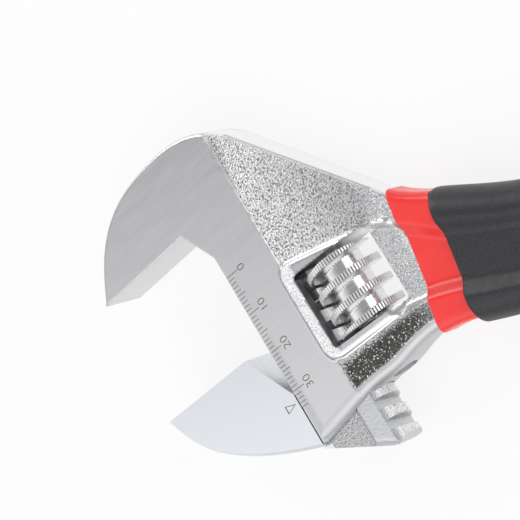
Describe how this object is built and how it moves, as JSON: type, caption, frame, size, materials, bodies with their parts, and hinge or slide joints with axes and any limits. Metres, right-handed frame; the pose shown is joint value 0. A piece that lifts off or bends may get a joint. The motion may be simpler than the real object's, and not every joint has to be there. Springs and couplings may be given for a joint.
{
  "type": "adjustable wrench",
  "caption": "Adjustable wrench: forged head with a fixed jaw and millimetre scale, movable jaw on a rack driven by a thumb-turned worm, and a layered soft grip.",
  "frame": {"origin": "middle of the fixed jaw's gripping face, on the mid-plane", "axes": "+X along the handle to its end, +Z out of the face with the millimetre scale, +Y across the handle toward the fixed jaw's side of the head"},
  "size_m": [0.255, 0.0764, 0.0166],
  "materials": {
    "forged_chrome": "satin ground flats, rough as-forged pockets",
    "ground_chrome": "satin ground",
    "worm_chrome": "bright, finely knurled crest",
    "pin_steel": "turned",
    "spring_steel": "drawn wire",
    "red_sleeve": "smooth, soft gloss",
    "black_grip": "matte, fine grain"
  },
  "bodies": {
    "frame": {"body": "forged_chrome", "worm_pin": "pin_steel", "worm_spring": "spring_steel", "inner_grip": "red_sleeve", "outer_grip": "black_grip"},
    "jaw": {"movable_jaw": "ground_chrome"},
    "worm": {"worm": "worm_chrome"}
  },
  "joints": [
    {"name": "jaw_slide", "type": "slide", "parent": "frame", "child": "jaw", "axis": [0.3827, -0.9239, 0], "range_m": [-0.0322, 0.0016]},
    {"name": "worm_spin", "type": "hinge", "parent": "frame", "child": "worm", "pos_m": [0.05612, -0.01372, 0], "axis": [0.3827, -0.9239, 0], "range_deg": [-120, 2325]}
  ],
  "couplings": [
    {"joint": "worm_spin", "follows": "jaw_slide", "rad_per_m": -1256.6}
  ]
}
